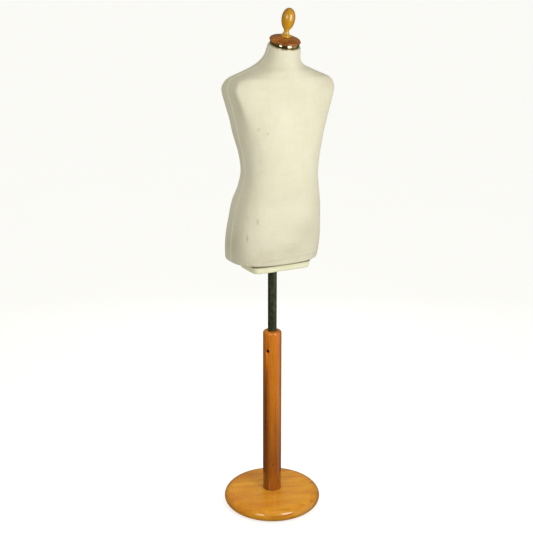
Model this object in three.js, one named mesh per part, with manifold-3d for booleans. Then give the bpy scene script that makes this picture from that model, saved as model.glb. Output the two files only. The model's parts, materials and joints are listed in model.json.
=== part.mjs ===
// A child-size tailor's bust on a turned wooden stand with a sliding steel rod.
//
// Millimetres, +Z up. The bust faces -Y, and its own left side is at +X. The origin is the middle of
// the base, on the floor. From the floor up: a round base, a bored post, a rod held in the post by a
// clamp screw, and a hollow torso that sits and turns on the rod. The torso is a moulded shell in two
// halves, with a layer of wadding and a sewn canvas cover, closed by a board below and a block above.

import * as THREE from "three";
import { mergeVertices } from "three/addons/utils/BufferGeometryUtils.js";
import Module from "manifold-3d";

const wasm = await Module();
wasm.setup();

// ---------------------------------------------------------------- driving dimensions

const GAP = 0.3; // clearance between pieces that touch
const RUNNING = 0.4; // clearance between the rod and what slides or turns on it

const FELT = { radius: 15, thickness: 3, circle: 120 };
const BASE = { radius: 157.5, widest: 18, edgeTop: 41, top: 44, seat: 36, recess: 12 };
const BASE_ROUNDING = { top: 34, foot: 13 }; // how far in from the rim the base begins to round over
const POST = { foot: 30, head: 29.5, top: 599, shoulder: 8, boreFloor: 139, boreChamfer: 1 };
const BOLT = { radius: 5, head: 8.5, headHeight: 6.4, length: 75, washer: 15, washerThickness: 1.6 };
const ROD = { radius: 14, wall: 2, foot: 349, top: 953 };
const PLUG = { depth: 25, rim: 5, chamfer: 1 };
const CLAMP = { height: 536, facing: 211, radius: 3.8, length: 6, shoe: 2.9, slot: 1.4, slotDepth: 2 };
const INSERT = { radius: 5.7, inner: 14.7, outer: 24.2 };

const HEM = 840; // the canvas turned under the torso
const HEM_ROLL = 6;
const BOARD = { thickness: 12, nails: 6, clearance: 0.8 };
const NAIL = { radius: 1, length: 15, sunk: 1.5 };
const BLOCK = { halfWidth: 95, halfDepth: 56, flare: 6, square: 7, y: -15, bottom: 814.5 };
const BLOCK_SCREWS = { x: 54, y: 30 };
const COVER_LAP = 14; // how far the torso's canvas reaches in over the block
const BLOCK_FOLD = 18; // how far the block's own cloth is turned in underneath
const SOCKET = { wall: 3.6, flange: 40, flangeThickness: 4, screwCircle: 30, fillet: 3 };
const SOCKET_SCREW = { radius: 2.2, length: 14, head: 4.4 };
const BLOCK_SCREW = { radius: 2.2, length: 34, head: 4.4 };

const CANVAS = 1.2;
const WADDING = 3.5;
const SHELL = 4;

const NECK = { y: -70, z: 1482, tilt: 17, roll: 3, lap: 5, ring: 42.5, ringWall: 2.7, ringHeight: 12.5 };
const SPIGOT = { radius: 35, depth: 12 };
const CAP = { radius: 45, height: 14.2, lip: 1.8, rounding: 7, rise: 6, shoulder: 26 };
const FINIAL = { foot: 15, rim: 3.5, waist: 7.6, waistHeight: 15.6, height: 80.5 };
const EGG = { radius: 19.3, foot: 16, middle: 52 }; // the finial's upper part, above its waist
const STUD = { radius: 3, inBlock: 24, inFinial: 22 };

// Horizontal sections of the torso, from the hem up. y and z place the middle of a section, tilt turns
// it to follow the neck, square is the exponent of its superellipse, and armhole goes from 0, a plain
// section, to 1, one whose sides are trimmed flat.
const SECTIONS = [
  { z: 838, y: 10.5, halfWidth: 141, halfDepth: 106, square: 2.6, armhole: 0, tilt: 0 },
  { z: 878, y: 2.5, halfWidth: 145, halfDepth: 108, square: 2.6, armhole: 0, tilt: 0 },
  { z: 923, y: -4.5, halfWidth: 145, halfDepth: 108, square: 2.6, armhole: 0, tilt: 0 },
  { z: 973, y: -13, halfWidth: 141.5, halfDepth: 104, square: 2.5, armhole: 0, tilt: 0 },
  { z: 1023, y: -22, halfWidth: 135.5, halfDepth: 98, square: 2.5, armhole: 0, tilt: 0 },
  { z: 1073, y: -36, halfWidth: 124, halfDepth: 92, square: 2.4, armhole: 0, tilt: 0 },
  { z: 1123, y: -44, halfWidth: 118.5, halfDepth: 89, square: 2.3, armhole: 0, tilt: 0 },
  { z: 1173, y: -43, halfWidth: 123, halfDepth: 92, square: 2.4, armhole: 0, tilt: 0 },
  { z: 1223, y: -37, halfWidth: 133.5, halfDepth: 96, square: 2.5, armhole: 0.15, tilt: 0 },
  { z: 1273, y: -32, halfWidth: 142, halfDepth: 98, square: 2.5, armhole: 0.5, tilt: 0 },
  { z: 1318, y: -28, halfWidth: 151.5, halfDepth: 95, square: 2.5, armhole: 0.9, tilt: 0 },
  { z: 1358, y: -27, halfWidth: 162.5, halfDepth: 88, square: 2.5, armhole: 1, tilt: 0 },
  { z: 1378, y: -31, halfWidth: 160.5, halfDepth: 81, square: 2.5, armhole: 0.8, tilt: 0 },
  { z: 1391, y: -36, halfWidth: 154, halfDepth: 75, square: 2.4, armhole: 0.4, tilt: 0 },
  { z: 1403, y: -39, halfWidth: 128, halfDepth: 70, square: 2.3, armhole: 0.1, tilt: 2 },
  { z: 1415, y: -43, halfWidth: 99, halfDepth: 65, square: 2.2, armhole: 0, tilt: 4 },
  { z: 1428, y: -48, halfWidth: 71, halfDepth: 58.5, square: 2.1, armhole: 0, tilt: 8 },
  { z: 1448, y: -57, halfWidth: 54.3, halfDepth: 50.5, square: 2, armhole: 0, tilt: 13 },
  { z: 1479, y: -69, halfWidth: 48, halfDepth: 45.5, square: 2, armhole: 0, tilt: 17 },
];
const ARMHOLE = { flare: 1.2, crispness: 10 };
const COLUMNS = 24; // facets round the torso
const BLOCK_SIDES = 40;

const canvas = finish(0xe8e2cb, 0.95);
const felt = finish(0x4b463e, 1);
const wadding = finish(0xd8d2c4, 1);
const papierMache = finish(0xa58f6a, 0.9);
const baseWood = finish(0xd89a45, 0.35);
const postWood = finish(0xb9702b, 0.35);
const capWood = finish(0x9a5420, 0.3);
const plainWood = finish(0xc8a678, 0.8);
const darkSteel = finish(0x33352b, 0.5, 0.8);
const brightSteel = finish(0xb9babb, 0.35, 1);
const chrome = finish(0xd9d9d6, 0.12, 1);
const brass = finish(0xb8903e, 0.35, 1);
const nylon = finish(0xe6e2d6, 0.6);

function finish(color, roughness, metalness = 0) {
  return new THREE.MeshStandardMaterial({ color, roughness, metalness });
}

// ---------------------------------------------------------------- shared geometry

const radians = THREE.MathUtils.degToRad;

// Points [r, z] along an elliptical arc, with angles in degrees from the +r direction.
function arc(r, z, radiusR, radiusZ, from, to, steps) {
  return Array.from({ length: steps + 1 }, (_, i) => {
    const angle = radians(from + ((to - from) * i) / steps);
    return [r + radiusR * Math.cos(angle), z + radiusZ * Math.sin(angle)];
  });
}

// A piece turned about Z from a profile of [r, z] points that runs outwards, up and back in.
// It starts and ends on the axis, or it is closed here into a ring.
function turned(profile, sides = 24) {
  const onAxis = profile[0][0] === 0;
  const closed = onAxis ? profile : [...profile, profile[0]];
  const points = closed.map(([r, z]) => new THREE.Vector2(r, z));
  return new THREE.LatheGeometry(points, sides).rotateX(Math.PI / 2);
}

function rod(radius, bottom, top, sides = 12) {
  return turned([[0, bottom], [radius, bottom], [radius, top], [0, top]], sides);
}

function ring(inner, outer, bottom, top, sides = 24) {
  return turned([[inner, bottom], [outer, bottom], [outer, top], [inner, top]], sides);
}

function toSolid(geometry) {
  const loose = geometry.index ? geometry.toNonIndexed() : geometry;
  const bare = new THREE.BufferGeometry().setAttribute("position", loose.getAttribute("position"));
  const merged = mergeVertices(bare, 1e-3);
  const vertProperties = merged.getAttribute("position").array;
  const triVerts = new Uint32Array(merged.index.array);
  return new wasm.Manifold(new wasm.Mesh({ numProp: 3, vertProperties, triVerts }));
}

function toGeometry(solid) {
  const mesh = solid.getMesh();
  return new THREE.BufferGeometry()
    .setAttribute("position", new THREE.BufferAttribute(mesh.vertProperties, 3))
    .setIndex(new THREE.BufferAttribute(mesh.triVerts, 1));
}

function cut(geometry, ...tools) {
  return toGeometry(tools.reduce((rest, tool) => rest.subtract(toSolid(tool)), toSolid(geometry)));
}

function join(...geometries) {
  return toGeometry(geometries.map(toSolid).reduce((all, solid) => all.add(solid)));
}

function add(parent, name, geometry, material) {
  if (!geometry.getAttribute("normal")) geometry.computeVertexNormals();
  const mesh = new THREE.Mesh(geometry, material);
  mesh.name = name;
  parent.add(mesh);
  return mesh;
}

// Evenly spaced points on a circle, the first at the angle start, in degrees.
function aroundCircle(count, radius, start = 0) {
  return Array.from({ length: count }, (_, i) => {
    const angle = radians(start + (360 * i) / count);
    return new THREE.Vector2(radius * Math.cos(angle), radius * Math.sin(angle));
  });
}

// ---------------------------------------------------------------- screws

// A slotted wood screw that hangs down from z = 0. A pan head stands above z = 0, a countersunk
// head ends level with it.
function woodScrew(radius, length, headRadius, countersunk) {
  const tip = [[0, -length], [radius, -length + 3 * radius]];
  const pan = [[radius, 0], [headRadius, 0], [headRadius * 0.85, radius], [0, 1.3 * radius]];
  const sunk = [[radius, radius - headRadius], [headRadius, -0.4], [headRadius, 0], [0, 0]];
  const body = turned([...tip, ...(countersunk ? sunk : pan)], 8);
  const slotDepth = 0.5 * radius;
  const slotFloor = (countersunk ? 0 : 1.3 * radius) - slotDepth;
  const slot = new THREE.BoxGeometry(3 * headRadius, 0.4 * radius, 2 * slotDepth);
  return cut(body, slot.translate(0, 0, slotFloor + slotDepth));
}

// The clear hole that such a screw passes through, or stands in.
function screwHole(radius, length) {
  return rod(radius + GAP, -length - 2 * GAP, length, 8);
}

// ---------------------------------------------------------------- torso surface

// Every value of the torso's section at height z, by a cubic curve through the listed sections.
function sectionAt(z) {
  const last = SECTIONS.length - 1;
  const above = SECTIONS.findIndex((section) => section.z >= z);
  const i = Math.max(0, (above < 0 ? last : above) - 1);
  const slope = (k, key) => {
    const low = SECTIONS[Math.max(0, k - 1)];
    const high = SECTIONS[Math.min(last, k + 1)];
    return (high[key] - low[key]) / (high.z - low.z);
  };
  const [p, q] = [SECTIONS[i], SECTIONS[i + 1]];
  const span = q.z - p.z;
  const t = (z - p.z) / span;
  const value = (key) =>
    p[key] * (1 + 2 * t) * (1 - t) ** 2 +
    q[key] * (3 - 2 * t) * t ** 2 +
    span * t * (1 - t) * (slope(i, key) * (1 - t) - slope(i + 1, key) * t);
  return {
    y: value("y"),
    halfWidth: value("halfWidth"),
    halfDepth: value("halfDepth"),
    square: value("square"),
    armhole: THREE.MathUtils.clamp(value("armhole"), 0, 1),
    tilt: radians(value("tilt")),
  };
}

// How far a section reaches at an angle, as a share of its ellipse.
function reach(angle, square, armhole) {
  const across = Math.abs(Math.cos(angle));
  const along = Math.abs(Math.sin(angle));
  const { flare, crispness } = ARMHOLE;
  const plain = (across ** square + along ** square) ** (-1 / square);
  const wide = ((across / flare) ** square + along ** square) ** (1 / square);
  const trimmed = ((wide ** crispness + across ** crispness) / (1 + flare ** -crispness)) ** (-1 / crispness);
  return THREE.MathUtils.lerp(plain, trimmed, armhole);
}

// A point of the torso's outer surface: angle 0 is +X, the left side, and 90 degrees is the back.
function surfacePoint(angle, z) {
  const section = sectionAt(z);
  const share = reach(angle, section.square, section.armhole);
  const across = section.halfWidth * share * Math.cos(angle);
  const along = section.halfDepth * share * Math.sin(angle);
  return new THREE.Vector3(
    across,
    section.y + along * Math.cos(section.tilt),
    z + along * Math.sin(section.tilt),
  );
}

function surfaceNormal(angle, z) {
  const step = 0.01;
  const low = Math.max(z - step, SECTIONS[0].z);
  const high = Math.min(z + step, SECTIONS.at(-1).z);
  const round = surfacePoint(angle + step, z).sub(surfacePoint(angle - step, z));
  const up = surfacePoint(angle, high).sub(surfacePoint(angle, low));
  return round.cross(up).normalize();
}

// The point that lies a given depth under the surface.
function pointUnder(angle, z, depth) {
  return surfacePoint(angle, z).addScaledVector(surfaceNormal(angle, z), -depth);
}

// A point past the edge of the surface at z, moved in and out of the plane of that edge's section.
// beyond is positive upwards, along the section's own axis.
function pointPastEdge(angle, z, inward, beyond) {
  const tilt = sectionAt(z).tilt;
  const axis = new THREE.Vector3(0, -Math.sin(tilt), Math.cos(tilt));
  const outward = surfaceNormal(angle, z).projectOnPlane(axis).normalize();
  return surfacePoint(angle, z).addScaledVector(outward, -inward).addScaledVector(axis, beyond);
}

function superellipse(angle, halfWidth, halfDepth, square) {
  const share = reach(angle, square, 0);
  return new THREE.Vector2(halfWidth * share * Math.cos(angle), halfDepth * share * Math.sin(angle));
}

// A closed solid between an outer and an inner grid of points, each indexed [row][column].
function between(outer, inner) {
  const rows = outer.length;
  const columns = outer[0].length;
  const index = [];
  const at = (layer, row, column) => (layer * rows + row) * columns + column;
  const quad = (a, b, c, d) => index.push(a, b, c, a, c, d);
  for (let r = 0; r < rows - 1; r++) {
    for (let c = 0; c < columns - 1; c++) {
      quad(at(0, r, c), at(0, r, c + 1), at(0, r + 1, c + 1), at(0, r + 1, c));
      quad(at(1, r, c), at(1, r + 1, c), at(1, r + 1, c + 1), at(1, r, c + 1));
    }
    const end = columns - 1;
    quad(at(0, r, 0), at(0, r + 1, 0), at(1, r + 1, 0), at(1, r, 0));
    quad(at(0, r, end), at(1, r, end), at(1, r + 1, end), at(0, r + 1, end));
  }
  for (let c = 0; c < columns - 1; c++) {
    const top = rows - 1;
    quad(at(0, 0, c), at(1, 0, c), at(1, 0, c + 1), at(0, 0, c + 1));
    quad(at(0, top, c), at(0, top, c + 1), at(1, top, c + 1), at(1, top, c));
  }
  const positions = [...outer, ...inner].flat().flatMap((point) => point.toArray());
  return new THREE.BufferGeometry()
    .setAttribute("position", new THREE.Float32BufferAttribute(positions, 3))
    .setIndex(index);
}

// A closed solid through flat loops of points, from the lowest up, with both ends capped.
function lofted(loops) {
  const sides = loops[0].length;
  const middle = (loop) => loop.reduce((sum, p) => sum.add(p), new THREE.Vector3()).divideScalar(sides);
  const points = [...loops.flat(), middle(loops[0]), middle(loops.at(-1))];
  const [bottom, top] = [points.length - 2, points.length - 1];
  const index = [];
  for (let i = 0; i < sides; i++) {
    const next = (i + 1) % sides;
    for (let k = 0; k < loops.length - 1; k++) {
      const [low, high] = [k * sides, (k + 1) * sides];
      index.push(low + i, low + next, high + next, low + i, high + next, high + i);
    }
    const last = (loops.length - 1) * sides;
    index.push(bottom, next, i, top, last + i, last + next);
  }
  return new THREE.BufferGeometry()
    .setAttribute("position", new THREE.Float32BufferAttribute(points.flatMap((p) => p.toArray()), 3))
    .setIndex(index);
}

// ---------------------------------------------------------------- stand

function makeStand(parent) {
  const { radius, widest, edgeTop, top, seat } = BASE;
  const underside = FELT.thickness;
  const recessTop = underside + BASE.recess;
  const recessRadius = BOLT.washer + 3;
  const boltHole = BOLT.radius + GAP;
  const baseProfile = [
    [boltHole, recessTop],
    [recessRadius, recessTop],
    [recessRadius, underside],
    ...arc(radius - BASE_ROUNDING.foot, widest, BASE_ROUNDING.foot, widest - underside, -90, 0, 3),
    ...arc(radius - BASE_ROUNDING.top, widest, BASE_ROUNDING.top, edgeTop - widest, 18, 90, 4),
    [(radius + seat) / 2, (2 * top + edgeTop) / 3],
    [seat, top],
    [boltHole, top],
  ];
  add(parent, "base_disc", turned(baseProfile, 40), baseWood);

  aroundCircle(4, FELT.circle, 45).forEach((place, i) => {
    const pad = rod(FELT.radius, 0, FELT.thickness - GAP, 16).translate(place.x, place.y, 0);
    add(parent, `felt_pad_${i + 1}`, pad, felt);
  });

  const washerTop = recessTop - GAP;
  const washerBottom = washerTop - BOLT.washerThickness;
  add(parent, "base_washer", ring(boltHole, BOLT.washer, washerBottom, washerTop, 24), brightSteel);
  const headTop = washerBottom - GAP;
  const shank = rod(BOLT.radius, headTop - 1, headTop + BOLT.length);
  const head = rod(BOLT.head, headTop - BOLT.headHeight, headTop, 6);
  add(parent, "base_bolt", join(shank, head), brightSteel);

  const postFoot = top + GAP;
  const bore = ROD.radius + RUNNING;
  const boltWay = headTop + BOLT.length + 4;
  const postProfile = [
    [0, boltWay],
    [boltHole, boltWay],
    [boltHole, postFoot],
    [POST.foot, postFoot],
    ...arc(POST.head - POST.shoulder, POST.top - POST.shoulder, POST.shoulder, POST.shoulder, 0, 90, 3),
    [bore + POST.boreChamfer, POST.top],
    [bore, POST.top - POST.boreChamfer],
    [bore, POST.boreFloor],
    [0, POST.boreFloor],
  ];
  const clampHole = turned([
    [0, bore - 3],
    [INSERT.radius + GAP, bore - 3],
    [INSERT.radius + GAP, POST.head - 2],
    [INSERT.radius + 4, POST.head + 2],
    [0, POST.head + 2],
  ], 12);
  const frame = clampFrame();
  frame.updateMatrix();
  add(parent, "post", cut(turned(postProfile, 28), clampHole.applyMatrix4(frame.matrix)), postWood);

  parent.add(frame);
  const insert = ring(CLAMP.radius + GAP, INSERT.radius, INSERT.inner, INSERT.outer, 12);
  add(frame, "clamp_insert", insert, brass);
  const shoeStart = ROD.radius + GAP;
  const screwStart = shoeStart + CLAMP.shoe + GAP;
  const screwEnd = screwStart + CLAMP.length;
  add(frame, "clamp_shoe", rod(CLAMP.radius - 0.1, shoeStart, shoeStart + CLAMP.shoe), brass);
  const slot = new THREE.BoxGeometry(3 * CLAMP.radius, CLAMP.slot, 2 * CLAMP.slotDepth);
  const screw = cut(rod(CLAMP.radius, screwStart, screwEnd), slot.translate(0, 0, screwEnd));
  add(frame, "clamp_screw", screw, darkSteel);
}

// A group whose +Z points out of the post along the clamp screw.
function clampFrame() {
  const facing = radians(CLAMP.facing);
  const outward = new THREE.Vector3(Math.cos(facing), Math.sin(facing), 0);
  const frame = new THREE.Group();
  frame.position.z = CLAMP.height;
  frame.quaternion.setFromUnitVectors(new THREE.Vector3(0, 0, 1), outward);
  return frame;
}

function makeRod(parent) {
  const inner = ROD.radius - ROD.wall;
  add(parent, "height_rod", ring(inner, ROD.radius, ROD.foot, ROD.top), darkSteel);
  const { depth, rim, chamfer } = PLUG;
  const plug = [
    [0, -depth],
    [inner - GAP - chamfer, -depth],
    [inner - GAP, -depth + 3 * chamfer],
    [inner - GAP, GAP],
    [ROD.radius, GAP],
    [ROD.radius, rim - chamfer],
    [ROD.radius - chamfer, rim],
    [0, rim],
  ];
  add(parent, "rod_top_plug", turned(plug, 24).translate(0, 0, ROD.top), nylon);
  const footPlug = turned(plug, 24).rotateX(Math.PI).translate(0, 0, ROD.foot);
  add(parent, "rod_foot_plug", footPlug, nylon);
}

// ---------------------------------------------------------------- torso underside

const boardBottom = HEM + CANVAS + BOARD.clearance;
const boardTop = boardBottom + BOARD.thickness;
const rodHole = ROD.radius + RUNNING + 0.6;
const blockTop = HEM - GAP;
const shellDepth = CANVAS + GAP + WADDING + GAP; // how deep the shell's outer face lies

function makeSocket(parent) {
  const inner = ROD.radius + RUNNING;
  const outer = inner + SOCKET.wall;
  const bottom = boardTop + GAP;
  const flangeTop = bottom + SOCKET.flangeThickness;
  const ceiling = ROD.top + PLUG.rim + GAP;
  const body = turned([
    [0, ceiling],
    [inner, ceiling],
    [inner, bottom],
    [SOCKET.flange, bottom],
    [SOCKET.flange, flangeTop],
    [outer + SOCKET.fillet, flangeTop],
    [outer, flangeTop + SOCKET.fillet],
    [outer, ceiling + SOCKET.wall],
    [0, ceiling + SOCKET.wall],
  ]);
  const { radius, length, head } = SOCKET_SCREW;
  const places = aroundCircle(4, SOCKET.screwCircle, 45);
  const hole = (place) => screwHole(radius, length).translate(place.x, place.y, flangeTop);
  add(parent, "rod_socket", cut(body, ...places.map(hole)), darkSteel);
  places.forEach((place, i) => {
    const geometry = woodScrew(radius, length, head, false);
    add(parent, `socket_screw_${i + 1}`, geometry.translate(place.x, place.y, flangeTop + GAP), brightSteel);
  });
  return places.map(hole);
}

// A solid that follows the sides of the block under the torso, which flare out upwards, grown by
// the amount given.
function blockSolid(grown, bottom, top) {
  const { halfWidth, halfDepth, flare, square, y } = BLOCK;
  const loop = (z) => {
    const more = grown + (flare * (z - BLOCK.bottom)) / (blockTop - BLOCK.bottom);
    return Array.from({ length: BLOCK_SIDES }, (_, i) => {
      const angle = (2 * Math.PI * i) / BLOCK_SIDES;
      const point = superellipse(angle, halfWidth + more, halfDepth + more, square);
      return new THREE.Vector3(point.x, point.y + y, z);
    });
  };
  return lofted([loop(bottom), loop(top)]);
}

function makeBlock(parent) {
  const { radius, length, head } = BLOCK_SCREW;
  const { x: screwX, y: screwY } = BLOCK_SCREWS;
  const places = [[-screwX, -screwY], [screwX, -screwY], [screwX, screwY], [-screwX, screwY]];
  const upright = (geometry, [x, y]) => geometry.rotateX(Math.PI).translate(x, BLOCK.y + y, BLOCK.bottom);
  const holes = places.map((place) => {
    const countersink = turned([[0, -head - 1], [head + 1, 0], [head + 1, 2], [0, 2]], 8);
    return upright(join(screwHole(radius, length), countersink), place);
  });
  const rodWay = rod(rodHole, BLOCK.bottom - 1, boardTop + 1, 24);
  const block = blockSolid(0, BLOCK.bottom, blockTop);
  add(parent, "bottom_block", cut(block, rodWay, ...holes), plainWood);

  const foldTop = BLOCK.bottom - GAP;
  const foldBottom = foldTop - CANVAS;
  const cloth = blockSolid(GAP + CANVAS, foldBottom, blockTop);
  const inside = blockSolid(GAP, foldTop, blockTop + 1);
  const opening = blockSolid(-BLOCK_FOLD, foldBottom - 1, foldTop + 1);
  add(parent, "block_cover", cut(cloth, inside, opening), canvas);

  places.forEach((place, i) => {
    const geometry = woodScrew(radius, length, head, true);
    add(parent, `block_screw_${i + 1}`, upright(geometry, place), brightSteel);
  });
  return [rodWay, ...holes];
}

// ---------------------------------------------------------------- torso layers

const SEAM = 0.003; // half the angle left open between two panels

const waddingBottom = HEM + HEM_ROLL + 1;
const neckTop = SECTIONS.at(-1).z;
const layerHeights = [waddingBottom, ...SECTIONS.map(({ z }) => z).filter((z) => z > waddingBottom + 10)];

function panelAngles(from, to) {
  const columns = Math.round((COLUMNS * (to - from)) / 360);
  const start = radians(from) + SEAM;
  const end = radians(to) - SEAM;
  return Array.from({ length: columns + 1 }, (_, i) => start + ((end - start) * i) / columns);
}

// One layer of the torso at a depth under the surface. Its rows stand square to the surface, apart
// from level ones that may be listed for its foot.
function layer(angles, depth, thickness, levelRows = []) {
  const grid = (under) => [
    ...levelRows.map((z) => angles.map((angle) => pointPastEdge(angle, z, under, 0))),
    ...layerHeights.map((z) => angles.map((angle) => pointUnder(angle, z, under))),
  ];
  return between(grid(depth), grid(depth + thickness));
}

// The canvas runs from under the bottom block, round the hem, up the torso and in under the neck ring.
function coverPanel(from, to) {
  const angles = panelAngles(from, to);
  const quarterTurns = [0.5, 1];
  const surface = (under) => {
    const rolled = (z, radius, direction) =>
      quarterTurns.map((turn) =>
        angles.map((angle) => {
          const bend = (turn * Math.PI) / 2;
          const inward = radius - (radius - under) * Math.cos(bend);
          return pointPastEdge(angle, z, inward, direction * (radius - under) * Math.sin(bend));
        }),
      );
    const lap = angles.map((angle) => {
      const { halfWidth, halfDepth, square, y } = BLOCK;
      const edge = superellipse(angle, halfWidth - COVER_LAP, halfDepth - COVER_LAP, square);
      return new THREE.Vector3(edge.x, edge.y + y, HEM + under);
    });
    const neckLap = angles.map((angle) =>
      pointPastEdge(angle, neckTop, NECK.roll + NECK.lap, NECK.roll - under),
    );
    const body = layerHeights.map((z) => angles.map((angle) => pointUnder(angle, z, under)));
    const hemRoll = rolled(HEM + HEM_ROLL, HEM_ROLL, -1).reverse();
    return [lap, ...hemRoll, ...body, ...rolled(neckTop, NECK.roll, 1), neckLap];
  };
  return between(surface(0), surface(CANVAS));
}

// Nails that stand in the shell and the piece it closes on, along the section's inward direction.
function shellNails(count, start, z) {
  return Array.from({ length: count }, (_, i) => {
    const angle = radians(start + (360 * i) / count);
    const head = pointPastEdge(angle, z, shellDepth + NAIL.sunk, 0);
    const inward = pointPastEdge(angle, z, shellDepth + NAIL.sunk + 1, 0).sub(head);
    const turn = new THREE.Quaternion().setFromUnitVectors(new THREE.Vector3(0, 0, 1), inward);
    const place = new THREE.Matrix4().compose(head, turn, new THREE.Vector3(1, 1, 1));
    return {
      nail: () => rod(NAIL.radius, 0, NAIL.length, 8).applyMatrix4(place),
      hole: () => rod(NAIL.radius + GAP, -2 * NAIL.sunk, NAIL.length + 2 * GAP, 8).applyMatrix4(place),
    };
  });
}

function makeTorso(parent) {
  const flangeHoles = makeSocket(parent);
  const blockHoles = makeBlock(parent);

  const boardNails = shellNails(BOARD.nails, 30, (boardBottom + boardTop) / 2);
  const neckNails = shellNails(4, 45, neckTop - 12);
  const nailHoles = [...boardNails, ...neckNails].map(({ hole }) => hole());

  const allAngles = panelAngles(0, 360 - 360 / COLUMNS);
  const inside = shellDepth + SHELL + 2 * GAP;
  const loop = (z) => allAngles.map((angle) => pointPastEdge(angle, z, inside, 0));
  const board = lofted([loop(boardBottom), loop(boardTop)]);
  const boardHoles = [...flangeHoles, ...blockHoles, ...boardNails.map(({ hole }) => hole())];
  add(parent, "bottom_panel", cut(board, ...boardHoles), plainWood);
  boardNails.forEach(({ nail }, i) => add(parent, `panel_nail_${i + 1}`, nail(), brightSteel));
  neckNails.forEach(({ nail }, i) => add(parent, `neck_nail_${i + 1}`, nail(), brightSteel));

  const halves = { front: [180, 360], back: [0, 180] };
  for (const [name, [from, to]] of Object.entries(halves)) {
    const angles = panelAngles(from, to);
    const shell = layer(angles, shellDepth, SHELL, [boardBottom]);
    add(parent, `shell_${name}`, cut(shell, ...nailHoles), papierMache);
    add(parent, `padding_${name}`, layer(angles, CANVAS + GAP, WADDING), wadding);
  }
  add(parent, "cover_front", coverPanel(180, 360), canvas);
  add(parent, "cover_back_left", coverPanel(0, 90), canvas);
  add(parent, "cover_back_right", coverPanel(90, 180), canvas);

  makeNeck(parent, allAngles, inside, neckNails);
}

// ---------------------------------------------------------------- neck and finial

// The neck block fills the shell at the depth given, at the angles of the shell's own facets.
function makeNeck(parent, angles, depth, nails) {
  const neck = new THREE.Group();
  neck.position.set(0, NECK.y, NECK.z);
  neck.rotation.x = radians(NECK.tilt);
  neck.updateMatrix();
  parent.add(neck);

  const { ring: ringRadius, ringHeight } = NECK;
  const ringInner = ringRadius - NECK.ringWall;
  const studHole = STUD.radius + GAP;

  const spigot = turned([
    [0, -SPIGOT.depth],
    [SPIGOT.radius, -SPIGOT.depth],
    [SPIGOT.radius, GAP],
    [ringInner - GAP, GAP],
    [ringInner - GAP, ringHeight - GAP],
    [0, ringHeight - GAP],
  ]);
  const studWay = rod(studHole, -STUD.inBlock - 2, ringHeight + 2);
  const shellLoop = (z) => angles.map((angle) => pointUnder(angle, z, depth));
  const plug = lofted([shellLoop(SECTIONS.at(-2).z), shellLoop(neckTop)]);
  const head = join(plug, spigot.applyMatrix4(neck.matrix));
  const blockHoles = [studWay.applyMatrix4(neck.matrix), ...nails.map(({ hole }) => hole())];
  add(parent, "neck_block", cut(head, ...blockHoles), plainWood);

  const ringProfile = [
    [ringInner, GAP],
    [ringRadius - 1, GAP],
    ...arc(ringRadius - 2, ringHeight / 2, 2, ringHeight / 2 - 1, -60, 60, 2),
    [ringRadius - 1, ringHeight - GAP],
    [ringInner, ringHeight - GAP],
  ];
  add(neck, "neck_ring", turned(ringProfile, 28), chrome);

  const capBottom = ringHeight;
  const capTop = capBottom + CAP.height;
  const widest = capBottom + CAP.lip;
  const capProfile = [
    [studHole, capBottom],
    ...arc(CAP.radius - CAP.lip, widest, CAP.lip, CAP.lip, -90, 0, 2),
    ...arc(CAP.radius - CAP.rounding, widest, CAP.rounding, CAP.rise, 22, 66, 2),
    [CAP.shoulder, capTop - CAP.lip],
    [FINIAL.foot + 2, capTop],
    [studHole, capTop],
  ];
  add(neck, "neck_cap", turned(capProfile, 28), capWood);

  const stud = rod(STUD.radius, -STUD.inBlock, capTop + STUD.inFinial);
  add(neck, "finial_stud", stud, brightSteel);

  const { foot, rim, waist, waistHeight, height } = FINIAL;
  const finial = turned([
    [0, STUD.inFinial + 1],
    [studHole, STUD.inFinial + 1],
    [studHole, 0],
    [foot, 0],
    ...arc(foot, waistHeight, foot - waist, waistHeight - rim, 270, 180, 3),
    ...arc(0, EGG.middle, EGG.radius, EGG.middle - EGG.foot, -66, 0, 5),
    ...arc(0, EGG.middle, EGG.radius, height - EGG.middle, 15, 75, 4),
    [0, height],
  ], 20);
  add(neck, "finial", finial.translate(0, 0, capTop + GAP), baseWood);
}

// ---------------------------------------------------------------- assembly

const bust = new THREE.Group();
bust.name = "tailors_bust";
makeStand(bust);
makeRod(bust);
makeTorso(bust);

export default bust;
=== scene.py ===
"""The looks of a child-size tailor's bust on a wooden stand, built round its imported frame.

Metres, +Z up. The bust faces -Y and its own left side is at +X. The base stands on the floor at the
origin. Dimensions are written in millimetres and turned into metres where meshes are made.
"""
import json
import math

import bpy
import numpy as np
from mathutils import Matrix, Vector


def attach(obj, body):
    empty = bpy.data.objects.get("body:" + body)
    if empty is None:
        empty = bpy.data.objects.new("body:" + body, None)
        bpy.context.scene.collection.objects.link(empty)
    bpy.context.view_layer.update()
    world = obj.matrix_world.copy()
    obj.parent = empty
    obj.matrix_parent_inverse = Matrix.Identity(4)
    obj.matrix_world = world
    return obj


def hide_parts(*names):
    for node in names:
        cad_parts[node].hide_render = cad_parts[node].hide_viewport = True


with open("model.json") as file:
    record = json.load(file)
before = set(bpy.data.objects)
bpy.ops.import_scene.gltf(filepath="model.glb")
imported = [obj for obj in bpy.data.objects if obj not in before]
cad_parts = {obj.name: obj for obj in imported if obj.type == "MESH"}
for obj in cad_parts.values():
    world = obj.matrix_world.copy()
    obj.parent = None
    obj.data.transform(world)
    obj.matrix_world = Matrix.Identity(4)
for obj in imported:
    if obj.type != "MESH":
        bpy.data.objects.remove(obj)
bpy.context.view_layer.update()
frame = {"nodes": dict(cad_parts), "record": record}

MM = 0.001
DEGREE = math.pi / 180

# ---------------------------------------------------------------- dimensions, in millimetres

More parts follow.
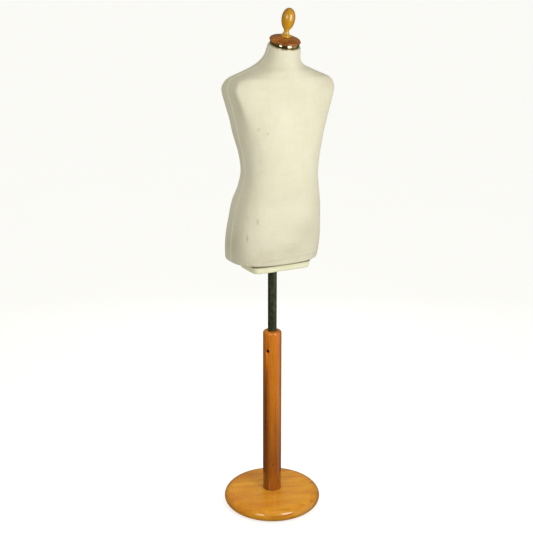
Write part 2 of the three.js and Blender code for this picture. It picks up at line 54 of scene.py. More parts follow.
GAP = 0.3
FELT = dict(count=4, radius=15, thickness=2.7, edge=0.7, circle=120)
BASE = dict(
    radius=157.5, underside=3, widest=18, edge_top=41, top_rounding=34, foot_rounding=13, top=44, seat=36
)
RECESS = dict(radius=18, top=15, hole=5.3)
POST = dict(foot=30, head=29.5, bottom=44.3, top=599, shoulder=8, bore=14.4, bore_floor=139, bolt_way=86)
CLAMP = dict(height=536, facing=211, hole=6, mouth=9.7)
ROD = dict(radius=14, inner=12, foot=349, top=953, edge=0.5)

HEM = 840
HEM_ROLL = 6
CANVAS = 1.2
WADDING = 3.5
BLOCK = dict(half_width=95, half_depth=56, flare=6, square=7, y=-15, bottom=814.5, top=839.7)
COVER_LAP = 14
BLOCK_FOLD = 18
BLOCK_EDGE = 3.5

NECK = dict(y=-70, z=1482, tilt=17, roll=3, lap=5)
RING = dict(outer=42.5, inner=39.8, height=12.5)
CAP = dict(radius=45, height=14.2, lip=1.8, rounding=7, rise=6)
STUD_HOLE = 3.3
FINIAL = dict(
    foot=15, rim=3.5, waist=7.6, waist_height=15.6, egg=19.3, egg_foot=16, egg_middle=52, height=80.5
)
STUD_END = 23

# Level sections of the torso from the hem up: height, middle in y, half width, half depth, exponent
# of the superellipse, share of the flat armhole shape, and tilt in degrees as the neck leans.
SECTIONS = np.array([
    (838, 10.5, 141, 106, 2.6, 0, 0),
    (878, 2.5, 145, 108, 2.6, 0, 0),
    (923, -4.5, 145, 108, 2.6, 0, 0),
    (973, -13, 141.5, 104, 2.5, 0, 0),
    (1023, -22, 135.5, 98, 2.5, 0, 0),
    (1073, -36, 124, 92, 2.4, 0, 0),
    (1123, -44, 118.5, 89, 2.3, 0, 0),
    (1173, -43, 123, 92, 2.4, 0, 0),
    (1223, -37, 133.5, 96, 2.5, 0.15, 0),
    (1273, -32, 142, 98, 2.5, 0.5, 0),
    (1318, -28, 151.5, 95, 2.5, 0.9, 0),
    (1358, -27, 162.5, 88, 2.5, 1, 0),
    (1378, -31, 160.5, 81, 2.5, 0.8, 0),
    (1391, -36, 154, 75, 2.4, 0.4, 0),
    (1403, -39, 128, 70, 2.3, 0.1, 2),
    (1415, -43, 99, 65, 2.2, 0, 4),
    (1428, -48, 71, 58.5, 2.1, 0, 8),
    (1448, -57, 54.3, 50.5, 2, 0, 13),
    (1479, -69, 48, 45.5, 2, 0, 17),
])
ARMHOLE_FLARE = 1.2
SOFT_CREASE = 9  # how sharply the armhole turns into the front, low down
CRISP_CREASE = 44  # and at the shoulder
CREASE_RISE = (1215, 1330)  # the heights between which it sharpens
SIDE_SEAM = 5  # how far round to the front of the widest line the side seams run, in degrees

# ---------------------------------------------------------------- meshes


def make_piece(name, vertices, faces, body, look, sharp=35, layers=None):
    """A mesh object from points in millimetres, that rides on a body and wears a material.

    layers holds pairs of millimetre values at each vertex, by name, that materials read as UV maps.
    """
    mesh = bpy.data.meshes.new(name)
    mesh.from_pydata((np.asarray(vertices, float) * MM).tolist(), [], faces)
    corners = np.empty(len(mesh.loops), dtype=np.int32)
    mesh.loops.foreach_get("vertex_index", corners)
    for layer_name, pairs in (layers or {}).items():
        layer = mesh.uv_layers.new(name=layer_name)
        layer.uv.foreach_set("vector", (pairs * MM)[corners].ravel())
    mesh.validate()
    mesh.shade_smooth()
    mesh.set_sharp_from_angle(angle=sharp * DEGREE)
    piece = bpy.data.objects.new(name, mesh)
    bpy.context.scene.collection.objects.link(piece)
    mesh.materials.append(look)
    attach(piece, body)
    return piece


def arc(r, z, radius_r, radius_z, start, end, steps=8):
    """Points (r, z) along an elliptical arc, with angles in degrees from the +r direction."""
    turns = np.linspace(start, end, steps + 1) * DEGREE
    return [(r + radius_r * math.cos(a), z + radius_z * math.sin(a)) for a in turns]


def lathe(name, profile, body, look, sides=96, place=None, sharp=35):
    """A closed piece turned about Z from (r, z) points that run outwards, up and back in.

    The profile starts and ends on the axis, or it is closed here into a ring.
    """
    vertices = []
    rows = []
    turns = np.arange(sides) * 2 * math.pi / sides
    for r, z in profile:
        if r == 0:
            rows.append([len(vertices)] * sides)
            vertices.append((0, 0, z))
        else:
            rows.append(list(range(len(vertices), len(vertices) + sides)))
            vertices.extend((r * math.cos(a), r * math.sin(a), z) for a in turns)
    if profile[0][0] != 0:
        rows.append(rows[0])
    faces = []
    for low, high in zip(rows, rows[1:]):
        for i in range(sides):
            j = (i + 1) % sides
            corners = (low[i], low[j], high[j], high[i])
            face = tuple(dict.fromkeys(corners))
            if len(face) > 2:
                faces.append(face)
    points = np.array(vertices)
    if place is not None:
        turn = np.array(place.to_3x3())
        points = points @ turn.T + np.array(place.translation)
    return make_piece(name, points, faces, body, look, sharp)


def solid_between(outer, inner):
    """Vertices and faces of the closed solid between two grids of points [row, column, xyz]."""
    rows, columns = outer.shape[:2]
    index = np.arange(2 * rows * columns).reshape(2, rows, columns)
    top, under = index

    def quads(a, b, c, d):
        return np.stack([a.ravel(), b.ravel(), c.ravel(), d.ravel()], axis=1)

    faces = np.concatenate([
        quads(top[:-1, :-1], top[:-1, 1:], top[1:, 1:], top[1:, :-1]),
        quads(under[:-1, :-1], under[1:, :-1], under[1:, 1:], under[:-1, 1:]),
        quads(top[:-1, 0], top[1:, 0], under[1:, 0], under[:-1, 0]),
        quads(top[:-1, -1], under[:-1, -1], under[1:, -1], top[1:, -1]),
        quads(top[0, :-1], under[0, :-1], under[0, 1:], top[0, 1:]),
        quads(top[-1, :-1], top[-1, 1:], under[-1, 1:], under[-1, :-1]),
    ])
    vertices = np.concatenate([outer.reshape(-1, 3), inner.reshape(-1, 3)])
    return vertices, faces.tolist()


def unit(vectors):
    return vectors / np.linalg.norm(vectors, axis=-1, keepdims=True)


def grid_normals(grid):
    """Outward normals of a grid whose columns run anticlockwise and whose rows run upwards."""
    return unit(np.cross(np.gradient(grid, axis=1), np.gradient(grid, axis=0)))


def lengths_along(grid, axis):
    """How far each point of a grid lies from its first row or column, along the surface."""
    steps = np.linalg.norm(np.diff(grid, axis=axis), axis=-1)
    start = np.zeros_like(np.take(steps, [0], axis=axis))
    return np.concatenate([start, np.cumsum(steps, axis=axis)], axis=axis)


def on_both_faces(*grids):
    """Two values at each point of a grid, as pairs for a solid's outer face and then its inner one."""
    pairs = np.stack(np.broadcast_arrays(*grids), axis=-1).reshape(-1, 2)
    return np.concatenate([pairs, pairs])


def smooth_step(low, high, value):
    share = np.clip((value - low) / (high - low), 0, 1)
    return share * share * (3 - 2 * share)


def bell(value, middle, width):
    return np.exp(-(((value - middle) / width) ** 2))


def waves(points, length, seed, count=12):
    """Smooth random ripples, mostly between -1 and 1, with about the wavelength given."""
    rng = np.random.default_rng(seed)
    ways = unit(rng.normal(size=(count, 3)))
    lengths = length * rng.uniform(0.7, 1.5, count)
    phases = rng.uniform(0, 2 * math.pi, count)
    angles = points @ (2 * math.pi * ways / lengths[:, None]).T + phases
    return np.sin(angles).sum(axis=-1) / math.sqrt(count)


# ---------------------------------------------------------------- the torso's surface


def section_at(z):
    """The torso's section values at each height, by a cubic curve through the listed sections."""
    heights = SECTIONS[:, 0]
    count = len(heights)
    i = np.clip(np.searchsorted(heights, z) - 1, 0, count - 2)
    low = np.maximum(np.arange(count) - 1, 0)
    high = np.minimum(np.arange(count) + 1, count - 1)
    slopes = (SECTIONS[high] - SECTIONS[low]) / (heights[high] - heights[low])[:, None]
    span = (heights[i + 1] - heights[i])[..., None]
    t = (z[..., None] - heights[i][..., None]) / span
    values = (
        SECTIONS[i] * (1 + 2 * t) * (1 - t) ** 2
        + SECTIONS[i + 1] * (3 - 2 * t) * t**2
        + span * t * (1 - t) * (slopes[i] * (1 - t) - slopes[i + 1] * t)
    )
    return np.moveaxis(values[..., 1:], -1, 0)


def plain_reach(angle, square):
    return (np.abs(np.cos(angle)) ** square + np.abs(np.sin(angle)) ** square) ** (-1 / square)


def torso_point(angle, z):
    """Points of the torso's outer surface: angle 0 is its left side and 90 degrees its back."""
    angle, z = np.broadcast_arrays(np.asarray(angle, float), np.asarray(z, float))
    y, half_width, half_depth, square, armhole, tilt = section_at(z)
    armhole = np.clip(armhole, 0, 1)
    across, along = np.abs(np.cos(angle)), np.abs(np.sin(angle))
    wide = ((across / ARMHOLE_FLARE) ** square + along**square) ** (1 / square)
    front = smooth_step(0.0, 0.35, -np.sin(angle))
    crease = SOFT_CREASE + (CRISP_CREASE - SOFT_CREASE) * front * smooth_step(*CREASE_RISE, z)
    trimmed = ((wide**crease + across**crease) / (1 + ARMHOLE_FLARE**-crease)) ** (-1 / crease)
    share = plain_reach(angle, square) * (1 - armhole) + trimmed * armhole
    depth = half_depth * share * np.sin(angle)
    lean = tilt * DEGREE
    return np.stack(
        [half_width * share * np.cos(angle), y + depth * np.cos(lean), z + depth * np.sin(lean)], axis=-1
    )


def edge_directions(angles, z):
    """At one height, the way out in the section's plane and the section's own axis."""
    step = 0.002
    lean = float(section_at(np.array(float(z)))[5]) * DEGREE
    axis = np.array([0, -math.sin(lean), math.cos(lean)])
    round_way = torso_point(angles + step, z) - torso_point(angles - step, z)
    return unit(np.cross(round_way, axis)), axis


def even_heights(low, high, spacing):
    """Heights whose rows lie about evenly spaced over the shoulders as well as up the sides."""
    fine = np.linspace(low, high, 1500)
    angles = np.array([0, 35, 90, 200, 225, 270]) * DEGREE
    steps = np.linalg.norm(np.diff(torso_point(angles[None], fine[:, None]), axis=0), axis=-1)
    run = np.concatenate([[0], np.cumsum(steps.max(axis=1))])
    count = round(run[-1] / spacing)
    return np.interp(np.linspace(0, run[-1], count + 1), run, fine)


def panel_angles(start, end, spacing=1.9):
    """Angles across a panel from seam to seam, close together where it is turned in at a seam."""
    near = np.array([0.03, 0.2, 0.4, 0.65, 0.95, 1.35, 1.9, 2.7])
    inner_start, inner_end = start + near[-1] + spacing, end - near[-1] - spacing
    middle = np.linspace(inner_start, inner_end, round((inner_end - inner_start) / spacing) + 1)
    return np.concatenate([start + near, middle, end - near[::-1]]) * DEGREE


def block_outline(angle, grown, z):
    """Points on the sides of the block under the torso, which flare out upwards."""
    flare = BLOCK["flare"] * (z - BLOCK["bottom"]) / (BLOCK["top"] - BLOCK["bottom"])
    share = plain_reach(angle, BLOCK["square"])
    x = (BLOCK["half_width"] + grown + flare) * share * np.cos(angle)
    y = (BLOCK["half_depth"] + grown + flare) * share * np.sin(angle) + BLOCK["y"]
    return np.stack(np.broadcast_arrays(x, y, np.asarray(z, float)), axis=-1)


def cloth_path(angles, spacing=5.0):
    """The canvas's outer face as a grid: from over the block, round the hem, up, and in at the neck."""
    heights = even_heights(HEM + HEM_ROLL, SECTIONS[-1, 0], spacing)
    body = torso_point(angles[None], heights[:, None])

    out, up = edge_directions(angles, heights[0])
    turns = np.arange(90, 0, -15) * DEGREE
    hem_roll = [body[0] - out * HEM_ROLL * (1 - math.cos(a)) - up * HEM_ROLL * math.sin(a) for a in turns]
    share = plain_reach(angles, BLOCK["square"])
    lap_end = np.stack(
        [
            (BLOCK["half_width"] - COVER_LAP) * share * np.cos(angles),
            (BLOCK["half_depth"] - COVER_LAP) * share * np.sin(angles) + BLOCK["y"],
            np.full_like(angles, HEM),
        ],
        axis=-1,
    )
    lap = [lap_end + (hem_roll[0] - lap_end) * t for t in np.linspace(0, 1, 12)[:-1]]

    out, up = edge_directions(angles, heights[-1])
    radius = NECK["roll"]
    turns = np.arange(18, 91, 18) * DEGREE
    neck_roll = [body[-1] - out * radius * (1 - math.cos(a)) + up * radius * math.sin(a) for a in turns]
    neck_lap = neck_roll[-1] - out * NECK["lap"]
    return np.stack([*lap, *hem_roll, *body, *neck_roll, neck_lap])


# ---------------------------------------------------------------- canvas relief


def seam_distance(grid):
    """How far each point of a panel lies from the nearer of its two seams, over the surface."""
    across = lengths_along(grid, 1)
    return np.minimum(across, across[:, -1:] - across)


# Patches of slanting drag lines: middle in degrees, height, lean, wavelength and amount.
DRAG_LINES = [
    (216, 860, 0.7, 15, 1.5),
    (322, 862, -0.8, 15, 0.8),
    (48, 860, 0.7, 12, 0.5),
    (133, 860, -0.7, 12, 0.5),
]
# Long faint creases: from and to in degrees, height at the start, rise per degree and amount.
CREASES = [
    (236, 262, 855, 0.16, 0.9),
    (276, 318, 861, 0.05, 1.0),
    (284, 322, 875, 0.1, 0.7),
    (268, 306, 907, 0.12, 0.5),
    (70, 110, 866, 0, 0.7),
]


def seam_allowance(seam):
    """The ridge that the turned-in edges make beside a seam."""
    return 0.5 * smooth_step(1.2, 2.6, seam) * (1 - smooth_step(8.5, 11, seam))


def puckers(seam, grid):
    """Small ripples up the seam, about one to a stitch or two."""
    pitch = 8.5
    return 0.16 * bell(seam, 3.2, 3) * np.sin(2 * math.pi * grid[..., 2] / pitch + 0.8 * waves(grid, 60, 11))


def hem_gathers(degrees, grid):
    """Folds where the canvas turns under at the hem, deeper at the body's four corners."""
    near_hem = bell(grid[..., 2], HEM + HEM_ROLL, 11)
    corner = np.abs(np.sin(2 * degrees * DEGREE)) ** 3
    return 0.32 * near_hem * (0.35 + corner) * np.sin(degrees * 1.9 + 2.2 * waves(grid, 70, 17))


def drag_lines(degrees, grid):
    z = grid[..., 2]
    mean_radius = 135
    run = np.radians(degrees) * mean_radius
    lines = np.zeros_like(z)
    for middle, height, lean, length, amount in DRAG_LINES:
        patch = bell(degrees, middle, 13) * bell(z, height, 17)
        lines += amount * patch * np.sin(2 * math.pi * (run * lean + z) / length + waves(grid, 40, 23))
    return lines


def long_creases(degrees, z):
    """Each crease is a ridge over a groove, that fades out past its two ends."""
    fade = 7
    offset, width = 2.4, 3.4
    creases = np.zeros_like(z)
    for start, end, height, slope, amount in CREASES:
        along = smooth_step(start - fade, start, degrees) * (1 - smooth_step(end, end + fade, degrees))
        line = height + slope * (degrees - start)
        creases += amount * along * (bell(z, line + offset, width) - bell(z, line - offset, width))
    return creases


def cloth_relief(angles, grid):
    """How far the canvas stands out from the smooth form: its unevenness, creases and puckers."""
    degrees = np.degrees(angles)[None]
    z = grid[..., 2]
    on_body = smooth_step(HEM, HEM + 8, z)
    seam = seam_distance(grid)
    uneven = 0.35 * waves(grid, 85, 3) + 0.16 * waves(grid, 34, 5)
    pulled_in = -0.9 * bell(seam, 0, 1.2) - 0.3 * bell(seam, 0, 6)
    raised = uneven + puckers(seam, grid) + seam_allowance(seam)
    slack = hem_gathers(degrees, grid) + drag_lines(degrees, grid) + long_creases(degrees, z)
    return raised * on_body + pulled_in + slack


def panel_relief(angles, spacing=5.0):
    """A panel's grid with its relief, and its smooth form under it."""
    form = cloth_path(angles, spacing)
    relief = cloth_relief(angles, form)
    return form + grid_normals(form) * relief[..., None], form


def canvas_panel(name, node, start, end, look):
    angles = panel_angles(start, end)
    outer, form = panel_relief(angles)
    inner = outer - grid_normals(form) * CANVAS
    vertices, faces = solid_between(outer, inner)
    across, along = lengths_along(form, 1), lengths_along(form, 0)
    middle = across[:, across.shape[1] // 2][:, None]
    layers = {
        "cloth": on_both_faces(across - middle, along),
        "seam": on_both_faces(seam_distance(form), along),
    }
    panel = make_piece(name, vertices, faces, "torso", look, 70, layers)
    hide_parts(node)
    return panel


def wadding_panel(name, node, start, end, look):
    """A soft layer between the canvas and the shell, pressed in where the canvas's seams are."""
    angles = panel_angles(start, end, 3.8)
    heights = even_heights(HEM + HEM_ROLL + 1, SECTIONS[-1, 0], 9)
    form = torso_point(angles[None], heights[:, None])
    normals = grid_normals(form)
    relief = cloth_relief(angles, form)[..., None]
    outer = form + normals * (np.minimum(relief, 0) - CANVAS - GAP)
    inner = form - normals * (CANVAS + GAP + WADDING)
    vertices, faces = solid_between(outer, inner)
    panel = make_piece(name, vertices, faces, "torso", look, 70)
    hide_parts(node)
    return panel


def block_cover(look):
    """The cloth round the block: down its sides, round the lower edge and turned in underneath."""
    angles = np.linspace(90.1, 449.9, 241) * DEGREE
    outside = GAP + CANVAS
    foot = BLOCK["bottom"] - outside
    side = [block_outline(angles, outside, z) for z in np.linspace(BLOCK["top"], foot + BLOCK_EDGE, 14)]
    turns = np.linspace(15, 90, 6) * DEGREE
    edge = [
        block_outline(angles, outside - BLOCK_EDGE * (1 - math.cos(a)), foot + BLOCK_EDGE * (1 - math.sin(a)))
        for a in turns
    ]
    fold = [
        block_outline(angles, outside - BLOCK_EDGE - inward, foot)
        for inward in np.linspace(0, BLOCK_FOLD + GAP + CANVAS - BLOCK_EDGE, 8)[1:]
    ]
    form = np.stack([*side, *edge, *fold])[::-1]
    degrees = np.degrees(angles)[None]
    z = form[..., 2]
    corner = np.abs(np.sin(2 * degrees * DEGREE)) ** 6
    underneath = 1 - smooth_step(foot, foot + 12, z)
    pleats = 0.5 * corner * underneath * np.sin(degrees * 1.3 + waves(form, 50, 31))
    hem_line = foot + 9.5 + 0.012 * (degrees - 225)
    turned_edge = 0.45 * (smooth_step(-0.8, 0.8, hem_line - z) - 0.5) * smooth_step(foot + 2, foot + 5, z)
    slack = 0.3 * waves(form, 45, 37) + 0.15 * waves(form, 18, 41)
    seam = seam_distance(form)
    relief = pleats + turned_edge + slack - 0.9 * bell(seam, 0, 1.2)
    normals = grid_normals(form)
    outer = form + normals * relief[..., None]
    vertices, faces = solid_between(outer, outer - normals * CANVAS)
    layers = {"cloth": on_both_faces(lengths_along(form, 1), lengths_along(form, 0))}
    cover = make_piece("block_cloth", vertices, faces, "torso", look, 70, layers)
    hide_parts("block_cover")
    return cover


# ---------------------------------------------------------------- turned pieces


def carve(piece, cutter):
    """Cuts one mesh out of another and deletes the cutter."""
    modifier = piece.modifiers.new("cut", "BOOLEAN")
    modifier.operation = "DIFFERENCE"
    modifier.solver = "EXACT"
    modifier.object = cutter
    bpy.context.view_layer.update()
    cut = bpy.data.meshes.new_from_object(piece.evaluated_get(bpy.context.evaluated_depsgraph_get()))
    piece.modifiers.clear()
    piece.data = cut
    bpy.data.objects.remove(cutter)


def make_base(look):
    b = BASE
    dome = b["radius"] - b["top_rounding"] - b["seat"]
    profile = [
        (RECESS["hole"], RECESS["top"]),
        (RECESS["radius"], RECESS["top"]),
        (RECESS["radius"], b["underside"] + 1),
        (RECESS["radius"] + 1, b["underside"]),
        *arc(b["radius"] - b["foot_rounding"], b["widest"], b["foot_rounding"], b["widest"] - b["underside"],
             -90, 0, 12),
        *arc(b["radius"] - b["top_rounding"], b["widest"], b["top_rounding"], b["edge_top"] - b["widest"],
             6, 87, 20),
        *[(r, b["edge_top"] + (b["top"] - b["edge_top"]) * math.cos((r - b["seat"]) / dome * math.pi / 2))
          for r in np.linspace(dome + b["seat"] - 5, b["seat"], 8)],
        (RECESS["hole"], b["top"]),
    ]
    base = lathe("base_turned", profile, "stand", look, 160)
    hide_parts("base_disc")


def make_felt(look):
    f = FELT
    for i in range(f["count"]):
        angle = (45 + 360 / f["count"] * i) * DEGREE
        place = Matrix.Translation((f["circle"] * math.cos(angle), f["circle"] * math.sin(angle), 0))
        profile = [
            (0, 0),
            (f["radius"] - f["edge"], 0),
            *arc(f["radius"] - f["edge"], f["edge"], f["edge"], f["edge"], -60, 0, 3),
            (f["radius"], f["thickness"] - 0.2),
            (f["radius"] - 0.2, f["thickness"]),
            (0, f["thickness"]),
        ]
        pad = lathe(f"felt_glide_{i + 1}", profile, "stand", look, 40, place)
        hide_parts(f"felt_pad_{i + 1}")


def make_post(look):
    p = POST
    side_top = p["top"] - p["shoulder"]
    profile = [
        (0, p["bolt_way"]),
        (RECESS["hole"], p["bolt_way"]),
        (RECESS["hole"], p["bottom"]),
        (p["foot"] - 0.8, p["bottom"]),
        (p["foot"], p["bottom"] + 0.8),
        *[(p["foot"] + (p["head"] - p["foot"]) * t, p["bottom"] + (side_top - p["bottom"]) * t)
          for t in np.linspace(0.1, 0.9, 9)],
        *arc(p["head"] - p["shoulder"], side_top, p["shoulder"], p["shoulder"], 0, 90, 10),
        (p["bore"] + 1, p["top"]),
        (p["bore"], p["top"] - 1),
        (p["bore"], p["bore_floor"]),
        (0, p["bore_floor"]),
    ]
    post = lathe("post_turned", profile, "stand", look, 128)
    facing = CLAMP["facing"] * DEGREE
    outward = Vector((math.cos(facing), math.sin(facing), 0))
    place = Matrix.Translation((0, 0, CLAMP["height"])) @ outward.to_track_quat("Z", "Y").to_matrix().to_4x4()
    hole = [
        (0, p["bore"] - 3),
        (CLAMP["hole"], p["bore"] - 3),
        (CLAMP["hole"], p["head"] - 2),
        (CLAMP["mouth"], p["head"] + 2),
        (0, p["head"] + 2),
    ]
    cutter = lathe("clamp_hole", hole, "stand", look, 48, place)
    carve(post, cutter)
    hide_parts("post")


def make_rod(look):
    r = ROD
    profile = [
        (r["inner"], r["foot"]),
        (r["radius"] - r["edge"], r["foot"]),
        (r["radius"], r["foot"] + r["edge"]),
        (r["radius"], r["top"] - r["edge"]),
        (r["radius"] - r["edge"], r["top"]),
        (r["inner"], r["top"]),
    ]
    rod = lathe("rod_tube", profile, "rod", look, 72)
    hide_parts("height_rod")


def neck_place():
    place = Matrix.Translation((0, NECK["y"], NECK["z"]))
    return place @ Matrix.Rotation(NECK["tilt"] * DEGREE, 4, "X")


def make_neck_ring(look):
    r = RING
    middle = r["height"] / 2
    profile = [
        (r["inner"], GAP),
        (r["outer"] - 1.4, GAP),
        *arc(r["outer"] - 2, middle, 2, middle - 0.5, -75, 75, 14),
        (r["outer"] - 1.4, r["height"] - GAP),
        (r["inner"], r["height"] - GAP),
    ]
    ring = lathe("neck_band", profile, "torso", look, 128, neck_place())
    ring.visible_diffuse = False  # keeps specks of mirrored light off the canvas and the cap
    ring.visible_glossy = False
    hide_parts("neck_ring")


def make_cap(look):
    c = CAP
    bottom = RING["height"]
    widest = bottom + c["lip"]
    top = bottom + c["height"]
    flat = FINIAL["foot"] + 2
    profile = [
        (STUD_HOLE, bottom),
        *arc(c["radius"] - c["lip"], widest, c["lip"], c["lip"], -90, -8, 7),
        *arc(c["radius"] - c["rounding"], widest, c["rounding"], c["rise"], 0, 66, 14),
        (c["radius"] - 5.2, widest + c["rise"] - 0.35),
        (c["radius"] - 6, widest + c["rise"] - 0.2),
        *[(r, top - (top - widest - c["rise"]) * ((r - flat) / (c["radius"] - 6 - flat)) ** 1.5)
          for r in np.linspace(c["radius"] - 7, flat, 9)],
        (STUD_HOLE, top),
    ]
    cap = lathe("cap_turned", profile, "torso", look, 128, neck_place())
    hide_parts("neck_cap")


def make_finial(look):
    f = FINIAL
    profile = [
        (0, STUD_END),
        (STUD_HOLE, STUD_END),
        (STUD_HOLE, 0),
        (f["foot"] - 0.6, 0),
        *arc(f["foot"] - 1.8, 1.9, 1.8, 1.9, -50, 80, 8),
        *arc(f["foot"] - 1, f["waist_height"], f["foot"] - 1 - f["waist"], f["waist_height"] - f["rim"] - 0.6,
             262, 182, 9),
        *arc(0, f["egg_middle"], f["egg"], f["egg_middle"] - f["egg_foot"], -66, 0, 16),
        *arc(0, f["egg_middle"], f["egg"], f["height"] - f["egg_middle"], 6, 84, 14),
        (0, f["height"]),
    ]
    place = neck_place() @ Matrix.Translation((0, 0, RING["height"] + CAP["height"] + GAP))
    finial = lathe("finial_turned", profile, "torso", look, 72, place, 50)
    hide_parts("finial")


# ---------------------------------------------------------------- materials


RING_SPACING = 0.314  # of the wave texture's rings at a scale of 1, in metres


class Nodes:
    """Short ways to add shader nodes to a tree."""

    def __init__(self, tree):
        self.tree = tree

    def node(self, kind, settings=None, inputs=None):
        made = self.tree.nodes.new(kind)
        for key, value in (settings or {}).items():
            setattr(made, key, value)
        for socket, value in (inputs or {}).items():
            self.feed(made.inputs[socket], value)
        return made

    def feed(self, socket, value):
        if isinstance(value, bpy.types.NodeSocket):
            self.tree.links.new(value, socket)
        else:
            socket.default_value = value

    def place(self, scale=(1, 1, 1), rotation=(0, 0, 0), location=(0, 0, 0)):
        """The point's place in metres, turned, moved and then scaled."""
        source = self.node("ShaderNodeTexCoord").outputs["Object"]
        return self.mapped(source, scale, rotation, location)

    def cloth(self, scale=(1, 1, 1), layer="cloth"):
        """The point's place on the cloth in metres: across and along the panel."""
        source = self.node("ShaderNodeUVMap", {"uv_map": layer}).outputs["UV"]
        return self.mapped(source, scale)

    def mapped(self, source, scale, rotation=(0, 0, 0), location=(0, 0, 0)):
        turned = {"Vector": source, "Rotation": rotation, "Location": location}
        moved = self.node("ShaderNodeMapping", None, turned).outputs["Vector"]
        return self.node("ShaderNodeMapping", None, {"Vector": moved, "Scale": scale}).outputs["Vector"]

    def noise(self, vector, scale, detail=3.0, roughness=0.5, distortion=0.0):
        inputs = {
            "Vector": vector, "Scale": scale, "Detail": detail, "Roughness": roughness,
            "Distortion": distortion,
        }
        return self.node("ShaderNodeTexNoise", None, inputs).outputs["Fac"]

    def rings(self, vector, spacing, distortion, detail_scale=1.0):
        """Rings about the X axis, at a spacing in metres."""
        settings = {"wave_type": "RINGS", "rings_direction": "X", "wave_profile": "SAW"}
        inputs = {
            "Vector": vector, "Scale": RING_SPACING / spacing, "Distortion": distortion, "Detail": 3.0,
            "Detail Scale": detail_scale, "Detail Roughness": 0.55,
        }
        return self.node("ShaderNodeTexWave", settings, inputs).outputs["Fac"]

    def calc(self, operation, a, b=0.0):
        return self.node("ShaderNodeMath", {"operation": operation}, {0: a, 1: b}).outputs[0]

    def times(self, a, b):
        return self.calc("MULTIPLY", a, b)

    def plus(self, a, b):
        return self.calc("ADD", a, b)

    def part(self, vector, which):
        return self.node("ShaderNodeSeparateXYZ", None, {0: vector}).outputs[which]

    def spread(self, value, low, high, start=0.0, end=1.0):
        """Maps low..high of a value smoothly to start..end."""
        inputs = {"Value": value, "From Min": low, "From Max": high, "To Min": start, "To Max": end}
        return self.node("ShaderNodeMapRange", {"interpolation_type": "SMOOTHSTEP"}, inputs).outputs["Result"]

    def mix(self, factor, a, b):
        """A colour between two colours. The mix node has its colours on sockets 6 and 7, and 2 going out."""
        return self.node("ShaderNodeMix", {"data_type": "RGBA"}, {0: factor, 6: a, 7: b}).outputs[2]

    def spot(self, vector, middle, radius):
        """1 at a point and 0 beyond a radius from it."""
        settings = {"operation": "DISTANCE"}
        far = self.node("ShaderNodeVectorMath", settings, {0: vector, 1: middle}).outputs["Value"]
        return self.spread(far, radius, 0.0)

    def tall_spot(self, middle, radius, tall):
        """A spot as wide as its radius says and this many times as high."""
        x, y, z = middle
        return self.spot(self.place((1, 1, 1 / tall)), (x, y, z / tall), radius)

    def dot(self, a, b):
        return self.node("ShaderNodeVectorMath", {"operation": "DOT_PRODUCT"}, {0: a, 1: b}).outputs["Value"]

    def blend(self, factor, a, b):
        """A number between two numbers."""
        return self.node("ShaderNodeMix", None, {0: factor, 2: a, 3: b}).outputs[0]


class Look(Nodes):
    """A procedural material: the Principled shader and what feeds it."""

    def __init__(self, name, **constants):
        self.material = bpy.data.materials.new(name)
        self.material.use_nodes = True
        super().__init__(self.material.node_tree)
        self.shader = self.tree.nodes["Principled BSDF"]
        for socket, value in constants.items():
            self.shader.inputs[socket.replace("_", " ").title().replace("Ior", "IOR")].default_value = value

    def bump(self, height, distance, strength=1.0):
        inputs = {"Height": height, "Distance": distance, "Strength": strength}
        normal = self.node("ShaderNodeBump", None, inputs).outputs["Normal"]
        self.feed(self.shader.inputs["Normal"], normal)

    def color(self, value):
        self.feed(self.shader.inputs["Base Color"], value)

    def roughness(self, value):
        self.feed(self.shader.inputs["Roughness"], value)


def rgb(red, green, blue):
    """A colour given as it looks on a screen, from 0 to 255, in the linear form that shaders take."""
    shares = [channel / 255 for channel in (red, green, blue)]
    linear = [s / 12.92 if s <= 0.04045 else ((s + 0.055) / 1.055) ** 2.4 for s in shares]
    return (*linear, 1)


THREAD = 0.0009  # the weave's thread spacing, in metres

# Brown marks on the canvas: place in metres, radius, height as a multiple of width, and depth.
STAINS = [
    ((-0.1045, -0.1124, 1.254), 0.007, 1.2, 0.42),
    ((-0.0802, -0.1225, 1.242), 0.0065, 1.0, 0.45),
    ((-0.1006, -0.0965, 0.982), 0.006, 2.6, 0.6),
    ((-0.124, -0.0755, 0.932), 0.0055, 3.8, 0.6),
    ((0.031, 0.061, 1.19), 0.006, 1.3, 0.3),
    ((0.118, -0.062, 0.95), 0.006, 1.5, 0.25),
]
# Broad patches of painted shade, where the canvas lies darker than the lights make it, given in the same way.
PAINTED_SHADE_PATCHES = [
    ((0.055, -0.122, 0.945), 0.085, 0.7, 0.34),
    ((0.0, -0.125, 0.885), 0.09, 0.5, 0.22),
    ((-0.145, -0.01, 0.9), 0.08, 0.9, 0.35),
    ((0.12, -0.05, 1.385), 0.085, 0.6, 0.4),
    ((0.05, 0.09, 0.93), 0.09, 0.6, 0.35),
]


